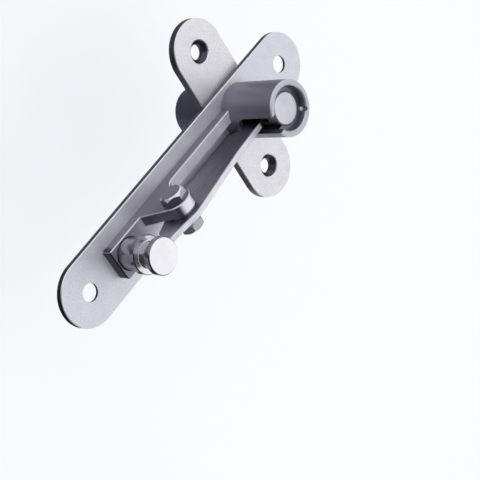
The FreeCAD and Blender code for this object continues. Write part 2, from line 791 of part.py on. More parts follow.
def make_socket_cup():
    """Closed cup pressed into the door plate, bored in two steps."""
    outer = "$cup_dia/2"
    spigot = "$cup_spigot_dia/2"
    edge = "$cup_break"
    body = turned("socket_cup", [
        ("0", CUP_END),
        (f"{outer} - {edge}", CUP_END),
        (outer, f"{CUP_END} + {edge}"),
        (outer, LEAF_UNDER),
        (spigot, LEAF_UNDER),
        (spigot, LEAF_TOP),
        (CUP_BORE, LEAF_TOP),
        (CUP_BORE, SOCKET_FOOT),
        (f"{CUP_BORE} - $cup_step", SOCKET_FOOT),
        (f"{CUP_BORE} - $cup_step", f"{CUP_END} + $cup_wall"),
        ("0", f"{CUP_END} + $cup_wall"),
    ])
    return body


def make_socket_bush():
    """Bush in the cup that the pivot pin turns in, with a lead-in at its mouth."""
    body = turned("socket_bush", [
        (PIN_BORE, SOCKET_FOOT),
        (CUP_BORE, SOCKET_FOOT),
        (CUP_BORE, SOCKET_TOP),
        (f"{PIN_BORE} + $socket_lead", SOCKET_TOP),
        (PIN_BORE, f"{SOCKET_TOP} - $socket_lead"),
    ])
    return body


def build_all():
    pieces = [
        make_frame_plate(),
        make_pin_barrel(),
        make_guide_bush(),
        make_bush_key(),
        make_lever_bracket(),
    ]
    for number, (across, up) in enumerate(FIXINGS, start=1):
        pieces.append(make_bracket_screw(number, across, up))
    pieces.append(make_pivot_bolt())
    pieces.extend(make_lever_rings())
    pieces.extend([
        make_pivot_nut(),
        make_lever(),
        make_drive_pin(),
        make_pivot_pin(),
        make_adjusting_screw(),
        make_door_plate(),
        make_socket_cup(),
        make_socket_bush(),
    ])
    return pieces


def check_document():
    """Stop if any object of the document failed."""
    for item in DOC.Objects:
        if "Invalid" in item.State or "Error" in item.State:
            raise RuntimeError(f"{item.Label} failed: {item.State}")


def write_parts(pieces):
    """Write each sub-part as its own file, named by its label."""
    for piece in pieces:
        shape = piece.Shape
        if shape.isNull() or not shape.isValid() or len(shape.Solids) != 1:
            raise RuntimeError(f"{piece.Label} is not one sound solid")
    os.makedirs("parts", exist_ok=True)
    for piece in pieces:
        piece.Shape.exportStep(f"parts/{piece.Label}.step")
        print(piece.Label, round(piece.Shape.Volume, 2))


PIECES = build_all()
DOC.recompute()
check_document()
write_parts(PIECES)
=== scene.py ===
"""Finishes, screw threads, studio and camera for the top pivot hinge.

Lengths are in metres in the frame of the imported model, unless a name ends in _mm.
"""

import logging
import math
from collections.abc import Sequence
from dataclasses import dataclass
from enum import Enum
from functools import cache

import bmesh
import bpy
from mathutils import Matrix, Vector


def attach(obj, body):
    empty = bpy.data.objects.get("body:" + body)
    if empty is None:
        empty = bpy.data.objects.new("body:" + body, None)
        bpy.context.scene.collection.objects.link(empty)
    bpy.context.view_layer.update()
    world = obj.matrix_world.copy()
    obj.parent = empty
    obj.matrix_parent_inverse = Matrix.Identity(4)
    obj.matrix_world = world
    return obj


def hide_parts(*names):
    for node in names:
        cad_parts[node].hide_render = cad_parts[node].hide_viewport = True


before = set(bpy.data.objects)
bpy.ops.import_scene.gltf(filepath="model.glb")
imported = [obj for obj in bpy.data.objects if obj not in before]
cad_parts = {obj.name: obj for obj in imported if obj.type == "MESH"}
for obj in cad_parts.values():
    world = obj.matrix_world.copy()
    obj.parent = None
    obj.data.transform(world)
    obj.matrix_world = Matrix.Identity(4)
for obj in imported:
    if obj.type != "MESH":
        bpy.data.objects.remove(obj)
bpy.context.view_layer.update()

MM = 0.001
LOG = logging.getLogger("hinge")

# The sRGB curve is straight up to its knee and a power above it
SRGB_KNEE, SRGB_FOOT, SRGB_LIFT, SRGB_POWER = 0.04045, 12.92, 0.055, 2.4
# Nearly all of a noise lies between these, so its pattern is stretched from them
NOISE_LOW, NOISE_HIGH = 0.3, 0.7
# Upright part of the normal up to which a surface is a wall, and from which it is a face
WALL_NORMAL, FACE_NORMAL = 0.74, 0.96
# The same part on a bevel of 45 degrees, and how far a broken edge may differ from it
BEVEL_NORMAL, BEVEL_SLACK = 0.7071, 0.08
# Corners of a solid's loose triangles that lie nearer than this are one corner
WELD = 1e-6
# How far a corner may miss a shank's limits and still belong to it
SHANK_SLACK_MM = 0.02

Triple = tuple[float, float, float]
Plain = float | int | bool | Sequence[float]
Sockets = dict[str | int, Plain | bpy.types.NodeSocket]


def linear(colour: str) -> tuple[float, float, float, float]:
    """Turn an sRGB hex colour into the linear colour that a socket takes.

    Args:
        colour: six hex digits after a hash sign, such as "#C8C7CE".

    Returns:
        Linear red, green and blue, and an alpha of one.
    """
    red, green, blue = [
        channel / SRGB_FOOT if channel <= SRGB_KNEE
        else ((channel + SRGB_LIFT) / (1 + SRGB_LIFT)) ** SRGB_POWER
        for channel in (int(colour[digit:digit + 2], 16) / 255 for digit in (1, 3, 5))]
    return red, green, blue, 1.0


def add_node(tree: bpy.types.NodeTree, kind: str, sockets: Sockets | None = None,
             **settings: str) -> bpy.types.Node:
    """Add a node to a shader or geometry tree.

    Args:
        tree: the tree that gets the node.
        kind: Blender's name for the type of node.
        sockets: input name or number to a plain value, or to the output socket that feeds it.
        **settings: properties of the node itself.

    Returns:
        The new node.
    """
    node = tree.nodes.new(kind)
    for name, value in settings.items():
        setattr(node, name, value)
    for key, value in (sockets or {}).items():
        if isinstance(value, bpy.types.NodeSocket):
            tree.links.new(value, node.inputs[key])
        else:
            node.inputs[key].default_value = value
    return node


class Grain(Enum):
    """Way that the marks of the last tool run: how close they lie along each axis.

    TURNED counts along radius and height, and its marks don't change round the axis.
    """

    ALONG_X = (0.05, 1.0, 1.0)
    ALONG_Y = (1.0, 0.05, 1.0)
    ALONG_Z = (1.0, 1.0, 0.02)
    TURNED = (1.0, 0.0, 1.0)
    EVEN = (1.0, 1.0, 1.0)


class EdgeAxis(Enum):
    """Part of the normal that tells a broken edge from the face beside it."""

    UPRIGHT = "Z"
    SIDEWAYS = "Y"


@dataclass(frozen=True)
class ToneZone:
    """End of a piece painted in another tone: painted shade on most pieces, a painted highlight
    on the lever's tail.

    Attributes:
        start_mm: X at which the tone sets in.
        end_mm: X at which it is full, as it is from there on.
        colour: its hex colour.
        walls_only: whether the faces keep their own colour.
    """

    start_mm: float
    end_mm: float
    colour: str
    walls_only: bool = False


@dataclass(frozen=True)
class SteelFinish:
    """Bare metal, with one colour for its faces, one for its walls and one for its broken edges.

    Faces are the surfaces square to Z, which were ground, faced or milled last.
    Walls are the upright surfaces, painted darker than the faces: painted shade where they show
    dark reflections.
    Edges are the narrow bevels, whose colour is painted light, as set where tone mixes in the
    edge colour.

    Attributes:
        name: the material's name.
        face: hex colour of the faces.
        wall: hex colour of the walls.
        edge: hex colour of the edges.
        face_roughness: roughness of the faces.
        wall_roughness: roughness of the walls.
        grain: the way that the tool marks run.
        spacing_mm: distance from mark to mark.
        depth_mm: depth of the marks in the bump.
        streak: how far the marks make the colour darker and lighter.
        edge_axis: what finds the edges.
        edge_floor_mm: Z below which no edge is told apart.
        cloud: how far broad patches change colour and roughness.
        cloud_mm: size of those patches.
        axis_x_mm: X of the axis that turned marks run round.
        metallic: how metallic the faces are.
        wall_metallic: how metallic the walls are.
        anisotropic: how far the marks draw a reflection out round the Z axis.
        zones: ends of another tone.
    """

    name: str
    face: str
    wall: str
    edge: str
    face_roughness: float
    wall_roughness: float
    grain: Grain
    spacing_mm: float
    depth_mm: float
    streak: float
    edge_axis: EdgeAxis = EdgeAxis.UPRIGHT
    edge_floor_mm: float = -1000.0
    cloud: float = 0.04
    cloud_mm: float = 7.0
    axis_x_mm: float = 0.0
    metallic: float = 0.9
    wall_metallic: float = 0.96
    anisotropic: float = 0.0
    zones: tuple[ToneZone, ...] = ()

    def pattern_vector(self, tree: bpy.types.NodeTree,
                       point: bpy.types.NodeSocket) -> bpy.types.NodeSocket:
        """Make the coordinates in which the tool marks are one unit apart.

        Args:
            tree: the material's tree.
            point: the object coordinates.

        Returns:
            The scaled coordinates, or radius and height for a turned finish.
        """
        shift = (-self.axis_x_mm * MM, 0.0, 0.0)
        marks = add_node(tree, "ShaderNodeVectorMath", {0: point, 1: shift}, operation="ADD")
        if self.grain is Grain.TURNED:
            parts = add_node(tree, "ShaderNodeSeparateXYZ", {0: marks.outputs[0]})
            flat = add_node(tree, "ShaderNodeVectorMath", {
                0: marks.outputs[0], 1: (1.0, 1.0, 0.0)}, operation="MULTIPLY")
            radius = add_node(tree, "ShaderNodeVectorMath", {0: flat.outputs[0]},
                              operation="LENGTH")
            marks = add_node(tree, "ShaderNodeCombineXYZ", {
                "X": radius.outputs["Value"], "Z": parts.outputs["Z"]})
        rate = 1 / (self.spacing_mm * MM)
        scale = [closeness * rate for closeness in self.grain.value]
        scaled = add_node(tree, "ShaderNodeVectorMath", {0: marks.outputs[0], 1: scale},
                          operation="MULTIPLY")
        return scaled.outputs[0]

    def tone(self, tree: bpy.types.NodeTree, point: bpy.types.NodeSocket,
             normals: bpy.types.Node, facing: bpy.types.NodeSocket) -> bpy.types.NodeSocket:
        """Mix the colours of faces, walls, zones and edges.

        Args:
            tree: the material's tree.
            point: the object coordinates.
            normals: the node that splits the normal in object space.
            facing: how far the surface is a face rather than a wall.

        Returns:
            The mixed colour.
        """
        parts = add_node(tree, "ShaderNodeSeparateXYZ", {0: point})
        # The walls get a darker colour than the faces: painted shade
        tone = add_node(tree, "ShaderNodeMix", {
            "Factor": facing, "A": linear(self.wall), "B": linear(self.face)}, data_type="RGBA")
        # Each zone paints one end of the piece in another tone, as painted shade or a painted
        # highlight
        for zone in self.zones:
            share = add_node(tree, "ShaderNodeMapRange", {
                "Value": parts.outputs["X"], "From Min": zone.start_mm * MM,
                "From Max": zone.end_mm * MM}, interpolation_type="SMOOTHSTEP")
            if zone.walls_only:
                share = add_node(tree, "ShaderNodeMapRange", {
                    "Value": facing, "To Min": share.outputs[0], "To Max": 0.0})
            tone = add_node(tree, "ShaderNodeMix", {
                "Factor": share.outputs[0], "A": tone.outputs["Result"],
                "B": linear(zone.colour)}, data_type="RGBA")
        # The bevels get the edge colour, which is a painted highlight on most finishes and a
        # painted dark line on the lever and the screw
        slant = add_node(tree, "ShaderNodeMath", {0: normals.outputs[self.edge_axis.value]},
                         operation="ABSOLUTE")
        bevel = add_node(tree, "ShaderNodeMath", {
            0: slant.outputs[0], 1: BEVEL_NORMAL, 2: BEVEL_SLACK}, operation="COMPARE")
        above = add_node(tree, "ShaderNodeMath", {
            0: parts.outputs["Z"], 1: self.edge_floor_mm * MM}, operation="GREATER_THAN")
        broken = add_node(tree, "ShaderNodeMath", {0: bevel.outputs[0], 1: above.outputs[0]},
                          operation="MULTIPLY")
        tone = add_node(tree, "ShaderNodeMix", {
            "Factor": broken.outputs[0], "A": tone.outputs["Result"], "B": linear(self.edge)},
            data_type="RGBA")
        return tone.outputs["Result"]

    def material(self) -> bpy.types.Material:
        """Build the finish as a material.

        Returns:
            The material, on object coordinates throughout.
        """
        material = bpy.data.materials.new(self.name)
        material.use_nodes = True
        tree = material.node_tree
        shader = tree.nodes["Principled BSDF"]
        coordinates = add_node(tree, "ShaderNodeTexCoord")
        point = coordinates.outputs["Object"]
        marks = add_node(tree, "ShaderNodeTexNoise", {
            "Vector": self.pattern_vector(tree, point), "Scale": 1.0, "Detail": 3.0,
            "Roughness": 0.6})
        clouds = add_node(tree, "ShaderNodeTexNoise", {
            "Vector": point, "Scale": 1 / (self.cloud_mm * MM), "Detail": 2.0, "Roughness": 0.5})
        streaks, patches = [
            add_node(tree, "ShaderNodeMapRange", {
                "Value": noise.outputs["Fac"], "From Min": NOISE_LOW, "From Max": NOISE_HIGH,
                "To Min": 1 - swing, "To Max": 1 + swing})
            for noise, swing in ((marks, self.streak), (clouds, self.cloud))]
        worked = add_node(tree, "ShaderNodeMath", {0: streaks.outputs[0], 1: patches.outputs[0]},
                          operation="MULTIPLY")
        normals = add_node(tree, "ShaderNodeSeparateXYZ", {0: coordinates.outputs["Normal"]})
        upright = add_node(tree, "ShaderNodeMath", {0: normals.outputs["Z"]},
                           operation="ABSOLUTE")
        facing = add_node(tree, "ShaderNodeMapRange", {
            "Value": upright.outputs[0], "From Min": WALL_NORMAL, "From Max": FACE_NORMAL},
            interpolation_type="SMOOTHSTEP").outputs[0]
        polish = add_node(tree, "ShaderNodeMapRange", {
            "Value": facing, "To Min": self.wall_roughness, "To Max": self.face_roughness})
        feeds = {
            "Base Color": add_node(tree, "ShaderNodeVectorMath", {
                0: self.tone(tree, point, normals, facing), "Scale": worked.outputs[0]},
                operation="SCALE"),
            "Roughness": add_node(tree, "ShaderNodeMath", {
                0: patches.outputs[0], 1: polish.outputs[0]}, operation="MULTIPLY"),
            "Normal": add_node(tree, "ShaderNodeBump", {
                "Height": marks.outputs["Fac"], "Distance": self.depth_mm * MM,
                "Strength": 1.0}),
        }
        if self.metallic == self.wall_metallic:
            shader.inputs["Metallic"].default_value = self.metallic
        else:
            feeds["Metallic"] = add_node(tree, "ShaderNodeMapRange", {
                "Value": facing, "To Min": self.wall_metallic, "To Max": self.metallic})
        if self.anisotropic:
            shader.inputs["Anisotropic"].default_value = self.anisotropic
            feeds["Tangent"] = add_node(tree, "ShaderNodeTangent", direction_type="RADIAL",
                                        axis="Z")
        for name, node in feeds.items():
            tree.links.new(node.outputs[0], shader.inputs[name])
        return material


# The real marks of these finishes are 0.02 to 0.1 mm apart, finer than a pixel of the render.
# Their spacing is drawn as 0.25 to 0.8 mm, which is as coarse as they need to show.

# Stainless strip, fine satin ground: a pale even sheet, with a painted highlight on its broken
# edges and painted shade on its sheared rims and in its holes
SATIN_PLATE = SteelFinish(
    name="satin_stainless_plate", face="#E3E2E8", wall="#66646E", edge="#F4F3F8",
    face_roughness=0.52, wall_roughness=0.36, grain=Grain.EVEN, spacing_mm=0.6,
    depth_mm=0.006, streak=0.11, edge_floor_mm=-0.4, metallic=0.86)
# The same strip, cut for the door: a shade paler, with painted shade in its countersinks
SATIN_LEAF = SteelFinish(
    name="satin_stainless_leaf", face="#EBEAED", wall="#55535D", edge="#F4F3F8",
    face_roughness=0.44, wall_roughness=0.36, grain=Grain.EVEN, spacing_mm=0.6,
    depth_mm=0.006, streak=0.11, edge_floor_mm=-4.1, metallic=0.8)
# Drawn steel bar milled across its top: satin sides painted darker than the paler top, which has
# fine cross marks; painted shade on the top round the screw and darker painted shade on the walls
# at its end
MILLED_BAR = SteelFinish(
    name="milled_bar_steel", face="#F2F0F6", wall="#87858F", edge="#D6D5DC",
    face_roughness=0.5, wall_roughness=0.32, grain=Grain.ALONG_Y, spacing_mm=0.5,
    depth_mm=0.006, streak=0.09, edge_axis=EdgeAxis.SIDEWAYS, metallic=0.66,
    zones=(ToneZone(-72.0, -86.0, "#94929C"),
           ToneZone(-97.0, -99.5, "#403E48", walls_only=True)))
# Cut and linished lever: satin flanks with painted shade that deepens towards the pin, a painted
# dark line along its edges, painted shade where its nose enters the pin and a painted highlight
# at its tail
GROUND_LEVER = SteelFinish(
    name="ground_lever_steel", face="#E6E4EB", wall="#8A8893", edge="#8C8B94",
    face_roughness=0.38, wall_roughness=0.34, grain=Grain.ALONG_X, spacing_mm=0.8,
    depth_mm=0.005, streak=0.16, edge_axis=EdgeAxis.SIDEWAYS, metallic=0.92,
    zones=(ToneZone(-62.0, -22.0, "#44424B", walls_only=True),
           ToneZone(-12.2, -10.8, "#2E2D34"),
           ToneZone(-72.0, -80.0, "#DCDBE2")))
# Turned and drawn tube, satin: a wall with faint lengthwise lines and painted shade, and a faced
# end and bevels with a painted highlight
TURNED_BARREL = SteelFinish(
    name="turned_barrel_steel", face="#C6C5CD", wall="#8D8B96", edge="#D2D1D8",
    face_roughness=0.34, wall_roughness=0.42, grain=Grain.ALONG_Z, spacing_mm=0.6,
    depth_mm=0.004, streak=0.06, metallic=0.95)
# Bright turned and polished screw: glossy bands with fine rings, its faces painted lighter than
# its walls and a painted dark line on its bevels
POLISHED_SCREW = SteelFinish(
    name="polished_screw_steel", face="#FAF9FC", wall="#A3A2A9", edge="#85848C",
    face_roughness=0.2, wall_roughness=0.16, grain=Grain.TURNED, spacing_mm=0.25,
    depth_mm=0.002, streak=0.04, axis_x_mm=-93.1, metallic=0.97)
# Bright drawn pin, faced in the lathe: a pale end, painted lighter than its wall, on which the
# light fans out from the middle
FACED_PIN = SteelFinish(
    name="faced_pin_steel", face="#E2E1E6", wall="#B5B4BB", edge="#E6E6EA",
    face_roughness=0.38, wall_roughness=0.3, grain=Grain.TURNED, spacing_mm=0.5,
    depth_mm=0.004, streak=0.05, anisotropic=0.85, metallic=0.97)
# Drawn dowel between bush and barrel, bright with a soft skin
DRAWN_KEY = SteelFinish(
    name="drawn_key_steel", face="#F0EFF4", wall="#DEDDE4", edge="#F0EFF4",
    face_roughness=0.45, wall_roughness=0.45, grain=Grain.EVEN, spacing_mm=0.6,
    depth_mm=0.004, streak=0.05, metallic=0.6, wall_metallic=0.6)
# Deep-drawn cup with a dark satin skin
DARK_CUP = SteelFinish(
    name="dark_cup_steel", face="#6A6973", wall="#5A5964", edge="#6A6973",
    face_roughness=0.4, wall_roughness=0.4, grain=Grain.TURNED, spacing_mm=0.4,
    depth_mm=0.004, streak=0.06)
# Cold-formed fasteners, plain: dull flats, with a painted highlight on their chamfered corners
FORMED_BOLT = SteelFinish(
    name="formed_fastener_steel", face="#B5B4BC", wall="#A3A2AA", edge="#EAE9F0",
    face_roughness=0.26, wall_roughness=0.26, grain=Grain.EVEN, spacing_mm=0.8,
    depth_mm=0.006, streak=0.05, edge_axis=EdgeAxis.SIDEWAYS, metallic=0.97)
# Hardened bushes: dark, with coarse turning rings
DARK_BUSH = SteelFinish(
    name="dark_bush_steel", face="#77767D", wall="#3A3940", edge="#6C6B72",
    face_roughness=0.34, wall_roughness=0.34, grain=Grain.TURNED, spacing_mm=0.8,
    depth_mm=0.01, streak=0.3)


@cache
def material_of(finish: SteelFinish) -> bpy.types.Material:
    """Make a finish's material once, and give the same one after that."""
    return finish.material()


def dress(node: str, finish: SteelFinish) -> None:
    """Give a carried-over solid its finish.

    Args:
        node: the solid's node.
        finish: what its material slots get.
    """
    for material_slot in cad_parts[node].material_slots:
        material_slot.material = material_of(finish)
    LOG.info("%s dressed in %s", node, finish.name)


@dataclass(frozen=True)
class ThreadRidge:
    """Helical ridge of a screw thread, wound by Geometry Nodes round the Z axis.

    The ridge fades in and out over part of a turn, as a thread does at its ends.

    Attributes:
        root_mm: radius at the thread's root.
        crest_mm: radius at its crest.
        pitch_mm: rise of one turn.
        length_mm: rise of the whole ridge.
        steps_a_turn: how many straight runs make one turn.
        fade: share of the ridge that each end takes to fade.
        foot_share: width of its foot as a share of the pitch.
        crest_share: width of its crest as a share of the pitch.
    """

    root_mm: float
    crest_mm: float
    pitch_mm: float
    length_mm: float
    steps_a_turn: int = 72
    fade: float = 0.1
    foot_share: float = 0.9
    crest_share: float = 0.15

    def build_tree(self) -> bpy.types.NodeTree:
        """Build the tree that winds the ridge.

        Returns:
            The tree, with its sizes as named inputs.
        """
        tree = bpy.data.node_groups.new("thread_ridge", "GeometryNodeTree")
        tree.interface.new_socket("Geometry", in_out="OUTPUT",
                                  socket_type="NodeSocketGeometry")
        for name in ("Root Radius", "Depth", "Pitch", "Foot", "Crest", "Turns", "Fade"):
            tree.interface.new_socket(name, in_out="INPUT", socket_type="NodeSocketFloat")
        tree.interface.new_socket("Steps", in_out="INPUT", socket_type="NodeSocketInt")
        tree.interface.new_socket("Finish", in_out="INPUT", socket_type="NodeSocketMaterial")
        given = add_node(tree, "NodeGroupInput").outputs
        rise = add_node(tree, "ShaderNodeMath", {0: given["Pitch"], 1: given["Turns"]},
                        operation="MULTIPLY")
        helix = add_node(tree, "GeometryNodeCurveSpiral", {
            "Resolution": given["Steps"], "Rotations": given["Turns"],
            "Start Radius": given["Root Radius"], "End Radius": given["Root Radius"],
            "Height": rise.outputs[0]})
        upright = add_node(tree, "GeometryNodeSetCurveNormal", {"Curve": helix.outputs[0]},
                           mode="Z_UP")
        along = add_node(tree, "GeometryNodeSplineParameter").outputs["Factor"]
        left = add_node(tree, "ShaderNodeMath", {0: 1.0, 1: along}, operation="SUBTRACT")
        start, end = [
            add_node(tree, "ShaderNodeMapRange", {
                "Value": share, "From Min": 0.0, "From Max": given["Fade"]})
            for share in (along, left.outputs[0])]
        size = add_node(tree, "ShaderNodeMath", {0: start.outputs[0], 1: end.outputs[0]},
                        operation="MULTIPLY")
        sized = add_node(tree, "GeometryNodeSetCurveRadius", {
            "Curve": upright.outputs[0], "Radius": size.outputs[0]})
        # The helix runs through the middle of the profile, so half of its height is in the core
        height = add_node(tree, "ShaderNodeMath", {0: given["Depth"], 1: given["Depth"]},
                          operation="ADD")
        flank = add_node(tree, "GeometryNodeCurvePrimitiveQuadrilateral", {
            "Height": height.outputs[0], "Bottom Width": given["Foot"],
            "Top Width": given["Crest"], "Offset": 0.0}, mode="TRAPEZOID")
        profile = add_node(tree, "GeometryNodeTransform", {
            "Geometry": flank.outputs[0], "Rotation": (0.0, 0.0, -math.pi / 2)})
        ridge = add_node(tree, "GeometryNodeCurveToMesh", {
            "Curve": sized.outputs[0], "Profile Curve": profile.outputs[0],
            "Fill Caps": True})
        real = add_node(tree, "GeometryNodeRealizeInstances", {0: ridge.outputs[0]})
        dressed = add_node(tree, "GeometryNodeSetMaterial", {
            "Geometry": real.outputs[0], "Material": given["Finish"]})
        add_node(tree, "NodeGroupOutput", {"Geometry": dressed.outputs[0]})
        return tree

    def make_mesh(self, name: str, finish: SteelFinish) -> bpy.types.Mesh:
        """Wind the ridge and turn it into a plain mesh.

        Args:
            name: the mesh's name.
            finish: the finish of the ridge.

        Returns:
            The ridge round the Z axis, rising from the origin.
        """
        tree = self.build_tree()
        pitch = self.pitch_mm * MM
        values = {
            "Root Radius": self.root_mm * MM, "Depth": (self.crest_mm - self.root_mm) * MM,
            "Pitch": pitch, "Foot": pitch * self.foot_share, "Crest": pitch * self.crest_share,
            "Turns": self.length_mm / self.pitch_mm, "Fade": self.fade,
            "Steps": self.steps_a_turn, "Finish": material_of(finish)}
        host = bpy.data.objects.new(f"{name}_host", bpy.data.meshes.new(f"{name}_host"))
        bpy.context.scene.collection.objects.link(host)
        modifier = host.modifiers.new("thread", "NODES")
        modifier.node_group = tree
        for socket in tree.interface.items_tree:
            if socket.in_out == "INPUT":
                modifier[socket.identifier] = values[socket.name]
        evaluated = host.evaluated_get(bpy.context.evaluated_depsgraph_get())
        mesh = bpy.data.meshes.new_from_object(evaluated)
        mesh.name = name
        host.modifiers.remove(modifier)
        bpy.data.objects.remove(host)
        return mesh


@dataclass(frozen=True)
class ThreadedShank:
    """Copy of a solid's mesh with its shank drawn in to a thread's root and wound with the ridge.

    Attributes:
        node: the solid's node.
        name: the piece's name.
        axis_foot_mm: point of the shank's axis that heights are counted from.
        axis_way: direction in which they rise.
        ridge: the thread.
        start_mm: height at which the thread starts.
        runout_mm: length over which the shank narrows to the root.
        core_mm: radius up to which the solid isn't drawn in.
        shank_mm: radius of the plain shank.
        smooth_deg: angle from which an edge stays sharp.
    """

    node: str
    name: str
    axis_foot_mm: Triple
    axis_way: Triple
    ridge: ThreadRidge
    start_mm: float
    runout_mm: float
    core_mm: float
    shank_mm: float
    smooth_deg: float = 32.0

    def axis_place(self) -> Matrix:
        """Work out where the shank's own upright axis stands.

        Returns:
            The change from that axis to the frame.
        """
        turn = Vector(self.axis_way).normalized().to_track_quat("Z", "Y")
        foot = [value * MM for value in self.axis_foot_mm]
        return Matrix.Translation(foot) @ turn.to_matrix().to_4x4()

    def draw_in(self, shape: bmesh.types.BMesh) -> None:
        """Cut the shank where the thread starts and ends, and draw it in to the root between.

        Args:
            shape: the solid's mesh, upright on the origin and with its doubles merged.
        """
        end_mm = self.start_mm + self.ridge.length_mm
        for height in (self.start_mm - self.runout_mm, self.start_mm,
                       end_mm, end_mm + self.runout_mm):
            parts = shape.verts[:] + shape.edges[:] + shape.faces[:]
            bmesh.ops.bisect_plane(shape, geom=parts, plane_co=(0, 0, height * MM),
                                   plane_no=(0, 0, 1))
        low, high = self.start_mm - SHANK_SLACK_MM, end_mm + SHANK_SLACK_MM
        share = self.ridge.root_mm / self.shank_mm
        for corner in shape.verts:
            radius = math.hypot(corner.co.x, corner.co.y) / MM
            on_shank = self.core_mm < radius < self.shank_mm + SHANK_SLACK_MM
            if on_shank and low < corner.co.z / MM < high:
                corner.co.x *= share
                corner.co.y *= share

    def shade(self, shape: bmesh.types.BMesh) -> None:
        """Turn the facets outwards, and shade all but the sharp edges smooth.

        Args:
            shape: the threaded mesh.
        """
        bmesh.ops.recalc_face_normals(shape, faces=shape.faces)
        for facet in shape.faces:
            facet.smooth = True
            facet.material_index = 0
        for edge in shape.edges:
            edge.smooth = edge.calc_face_angle(math.pi) < math.radians(self.smooth_deg)

    def build(self, finish: SteelFinish, body: str, slot: str) -> bpy.types.Object:
        """Make the threaded piece and let it stand for the solid.

        Args:
            finish: the finish of the piece.
            body: the body that it rides on.
            slot: the record's material slot; not used.

        Returns:
            The finished piece.
        """
        place = self.axis_place()
        shape = bmesh.new()
        shape.from_mesh(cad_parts[self.node].data)
        bmesh.ops.remove_doubles(shape, verts=shape.verts, dist=WELD)
        bmesh.ops.transform(shape, matrix=place.inverted(), verts=shape.verts)
        self.draw_in(shape)
        ridge = self.ridge.make_mesh(f"{self.name}_ridge", finish)
        ridge.transform(Matrix.Translation((0, 0, self.start_mm * MM)))
        shape.from_mesh(ridge)
        bpy.data.meshes.remove(ridge)
        bmesh.ops.transform(shape, matrix=place, verts=shape.verts)
        self.shade(shape)
        mesh = bpy.data.meshes.new(self.name)
        shape.to_mesh(mesh)
        shape.free()
        # The solid's stored normals don't fit the changed shank
        if mesh.has_custom_normals:
            mesh.attributes.remove(mesh.attributes["custom_normal"])
        mesh.materials.append(material_of(finish))
        piece = bpy.data.objects.new(self.name, mesh)
        bpy.context.scene.collection.objects.link(piece)
        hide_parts(self.node)
        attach(piece, body)
        LOG.info("%s stands for %s, in %s", self.name, self.node, finish.name)
        return piece


@dataclass
class FramePart:
    """What stays in the frame head: plate, bracket, barrel, bush, and the lever's bolt and nut.

    Attributes:
        body: the body that the bolt rides on.
        bolt: the solid and the thread on its end.
        bracket_screws: how many screws hold the bracket.
    """

    body: str = "frame_part"
    bolt: ThreadedShank = ThreadedShank(
        node="pivot_bolt", name="threaded_pivot_bolt", axis_foot_mm=(-68.0, 8.0, 17.5),
        axis_way=(0.0, -1.0, 0.0), start_mm=12.0, runout_mm=0.3, core_mm=2.0, shank_mm=3.0,
        ridge=ThreadRidge(root_mm=2.5, crest_mm=2.96, pitch_mm=1.0, length_mm=4.8,
                          steps_a_turn=40))
    bracket_screws: int = 3

    def dress_solids(self) -> None:
        """Dress plate, bracket, barrel, bush and fasteners."""
        dress("frame_plate", SATIN_PLATE)
        dress("lever_bracket", MILLED_BAR)
        dress("pin_barrel", TURNED_BARREL)
        dress("guide_bush", DARK_BUSH)
        dress("bush_key", DRAWN_KEY)
        fasteners = ["pivot_nut", "pivot_sleeve", "pivot_collar", "pivot_washer"]
        fasteners += [f"bracket_screw_{number + 1}" for number in range(self.bracket_screws)]
        for node in fasteners:
            dress(node, FORMED_BOLT)

    def build(self) -> None:
        """Dress the solids and cut the bolt's thread, which shows beyond the nut."""
        self.dress_solids()
        self.bolt.build(FORMED_BOLT, self.body, "fastener_steel")


@dataclass
class LeverArm:
    """Cranked lever and the dowel in its nose."""

    lever_finish: SteelFinish = GROUND_LEVER
    dowel_finish: SteelFinish = FORMED_BOLT

    def build(self) -> None:
        """Dress lever and dowel."""
        dress("lever", self.lever_finish)
        dress("drive_pin", self.dowel_finish)


@dataclass
class SlidingPin:
    """Pivot pin that the lever raises."""

    finish: SteelFinish = FACED_PIN

    def build(self) -> None:
        """Dress the pin."""
        dress("pivot_pin", self.finish)


@dataclass
class ScrewSpool:
    """Adjusting screw: grooved spool above a threaded shank.

    Attributes:
        body: the body that it rides on.
        screw: the solid and the thread on its shank.
        head_mm: Z of the spool's face.
        dimple_reach_mm: radius of the dimple in that face.
        dimple_depth_mm: how far under the face its corners are looked for.
        dimple_share: how much of its depth stays.
    """

    body: str = "screw_spool"
    screw: ThreadedShank = ThreadedShank(
        node="adjusting_screw", name="threaded_adjusting_screw",
        axis_foot_mm=(-93.1, 0.0, 0.0), axis_way=(0.0, 0.0, 1.0),
        start_mm=1.2, runout_mm=0.4, core_mm=6.0, shank_mm=7.0,
        ridge=ThreadRidge(root_mm=6.45, crest_mm=6.98, pitch_mm=1.0, length_mm=5.2))
    head_mm: float = 25.7
    dimple_reach_mm: float = 1.1
    dimple_depth_mm: float = 3.0
    dimple_share: float = 0.2

    def build(self) -> None:
        """Thread the shank, dress the whole screw and make the dimple in its head shallow."""
        piece = self.screw.build(POLISHED_SCREW, self.body, "turned_steel")
        axis_x_mm = self.screw.axis_foot_mm[0]
        for corner in piece.data.vertices:
            reach = math.hypot(corner.co.x / MM - axis_x_mm, corner.co.y / MM)
            sunk = self.head_mm - corner.co.z / MM
            if reach < self.dimple_reach_mm and sunk < self.dimple_depth_mm:
                corner.co.z = (self.head_mm - sunk * self.dimple_share) * MM


@dataclass
class DoorLeaf:
    """Door plate with the cup and bush that the pin turns in."""

    plate_finish: SteelFinish = SATIN_LEAF
    cup_finish: SteelFinish = DARK_CUP
    bush_finish: SteelFinish = DARK_BUSH

    def build(self) -> None:
        """Dress plate, cup and bush."""
        dress("door_plate", self.plate_finish)
        dress("socket_cup", self.cup_finish)
        dress("socket_bush", self.bush_finish)


